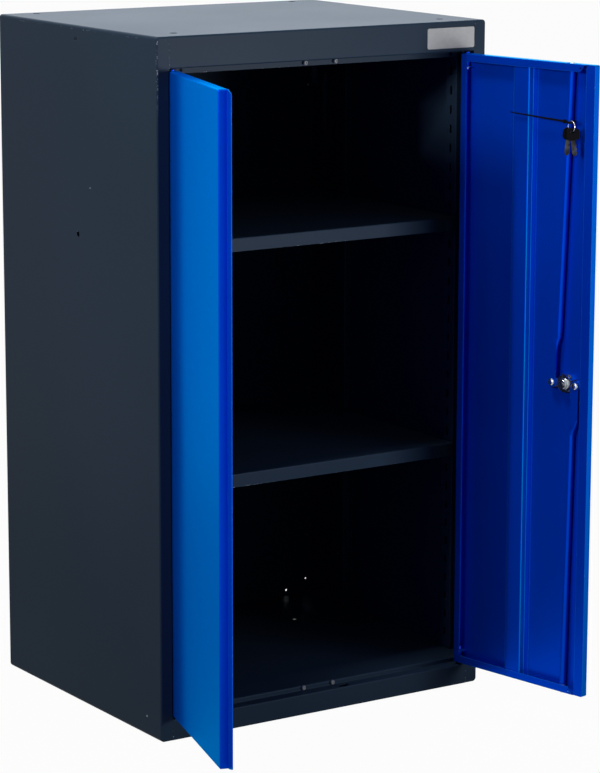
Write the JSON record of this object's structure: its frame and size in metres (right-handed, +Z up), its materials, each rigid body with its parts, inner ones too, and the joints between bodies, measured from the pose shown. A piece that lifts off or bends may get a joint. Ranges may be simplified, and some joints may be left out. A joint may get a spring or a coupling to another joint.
{
  "type": "workshop cabinet",
  "caption": "Steel workshop base cabinet with two hinged doors, adjustable shelves on slotted uprights and a turn handle that drives lock rods up and down.",
  "frame": {"origin": "middle of the carcass footprint, on the floor", "axes": "+X to the cabinet's right as seen from the front, +Y to the back, +Z up"},
  "size_m": [0.5859, 0.6392, 0.9],
  "materials": {
    "carcass_paint": "semi-gloss powder coat",
    "door_paint": "semi-gloss powder coat",
    "bright_steel": "bright",
    "zinc": "zinc plated",
    "lock_chrome": "polished",
    "grey_rubber": "matt",
    "black_nylon": "satin",
    "plate_aluminium": "satin",
    "key_plastic": "satin"
  },
  "bodies": {
    "carcass": {"left_side_panel": "carcass_paint", "right_side_panel": "carcass_paint", "top_panel": "carcass_paint", "bottom_panel": "carcass_paint", "back_panel": "carcass_paint", "back_rivets": "bright_steel", "left_front_upright": "carcass_paint", "left_rear_upright": "carcass_paint", "right_front_upright": "carcass_paint", "right_rear_upright": "carcass_paint", "upper_shelf": "carcass_paint", "lower_shelf": "carcass_paint", "upper_shelf_clips": "zinc", "lower_shelf_clips": "zinc", "door_bumpers": "grey_rubber", "hinge_bushes": "black_nylon", "fascia_plate": "plate_aluminium"},
    "left_door": {"left_door_panel": "door_paint", "left_door_stiffener": "door_paint", "left_upper_hinge_pin": "bright_steel", "left_lower_hinge_pin": "bright_steel", "left_pin_brackets": "door_paint", "left_pin_clips": "bright_steel"},
    "right_door": {"right_door_panel": "door_paint", "right_door_stiffener": "door_paint", "right_upper_hinge_pin": "bright_steel", "right_lower_hinge_pin": "bright_steel", "right_pin_brackets": "door_paint", "right_pin_clips": "bright_steel", "lock_barrel": "lock_chrome", "lock_rosette": "lock_chrome", "barrel_nut": "zinc"},
    "lock": {"turn_handle": "lock_chrome", "lock_spindle": "zinc", "lock_cam": "zinc", "cam_washer": "zinc", "cam_nut": "zinc", "rod_rivets": "zinc"},
    "key_plug": {"key_plug": "lock_chrome"},
    "upper_rod": {"upper_lock_rod": "door_paint", "cable_tie": "black_nylon"},
    "lower_rod": {"lower_lock_rod": "door_paint"},
    "keys": {"key_ring": "bright_steel", "key_heads": "key_plastic", "key_blades": "bright_steel"}
  },
  "joints": [
    {"name": "left_door_swing", "type": "hinge", "parent": "carcass", "child": "left_door", "pos_m": [-0.225, -0.2, 0.444], "axis": [0, 0, -1], "range_deg": [-106, 4]},
    {"name": "right_door_swing", "type": "hinge", "parent": "carcass", "child": "right_door", "pos_m": [0.225, -0.2, 0.444], "axis": [0, 0, 1], "range_deg": [-100.5, 9.5]},
    {"name": "lock_turn", "type": "hinge", "parent": "right_door", "child": "lock", "pos_m": [0.2629, -0.37706, 0.443], "axis": [0.9833, 0.1822, 0], "range_deg": [0, 90]},
    {"name": "upper_rod_pivot", "type": "hinge", "parent": "lock", "child": "upper_rod", "pos_m": [0.25926, -0.35739, 0.443], "axis": [0.9833, 0.1822, 0], "range_deg": [-93.29, 0.5]},
    {"name": "lower_rod_pivot", "type": "hinge", "parent": "lock", "child": "lower_rod", "pos_m": [0.26655, -0.39672, 0.443], "axis": [0.9833, 0.1822, 0], "range_deg": [-93.37, 0.5]},
    {"name": "key_plug_turn", "type": "hinge", "parent": "lock", "child": "key_plug", "pos_m": [0.2629, -0.37706, 0.443], "axis": [0.9833, 0.1822, 0], "range_deg": [0, 90]},
    {"name": "keys_swing", "type": "hinge", "parent": "upper_rod", "child": "keys", "pos_m": [0.24687, -0.39301, 0.78425], "axis": [-0.8462, 0.5329, 0], "range_deg": [-4, 20]}
  ],
  "couplings": [
    {"joint": "upper_rod_pivot", "follows": "lock_turn", "ratio": -1.031},
    {"joint": "lower_rod_pivot", "follows": "lock_turn", "ratio": -1.0319}
  ]
}
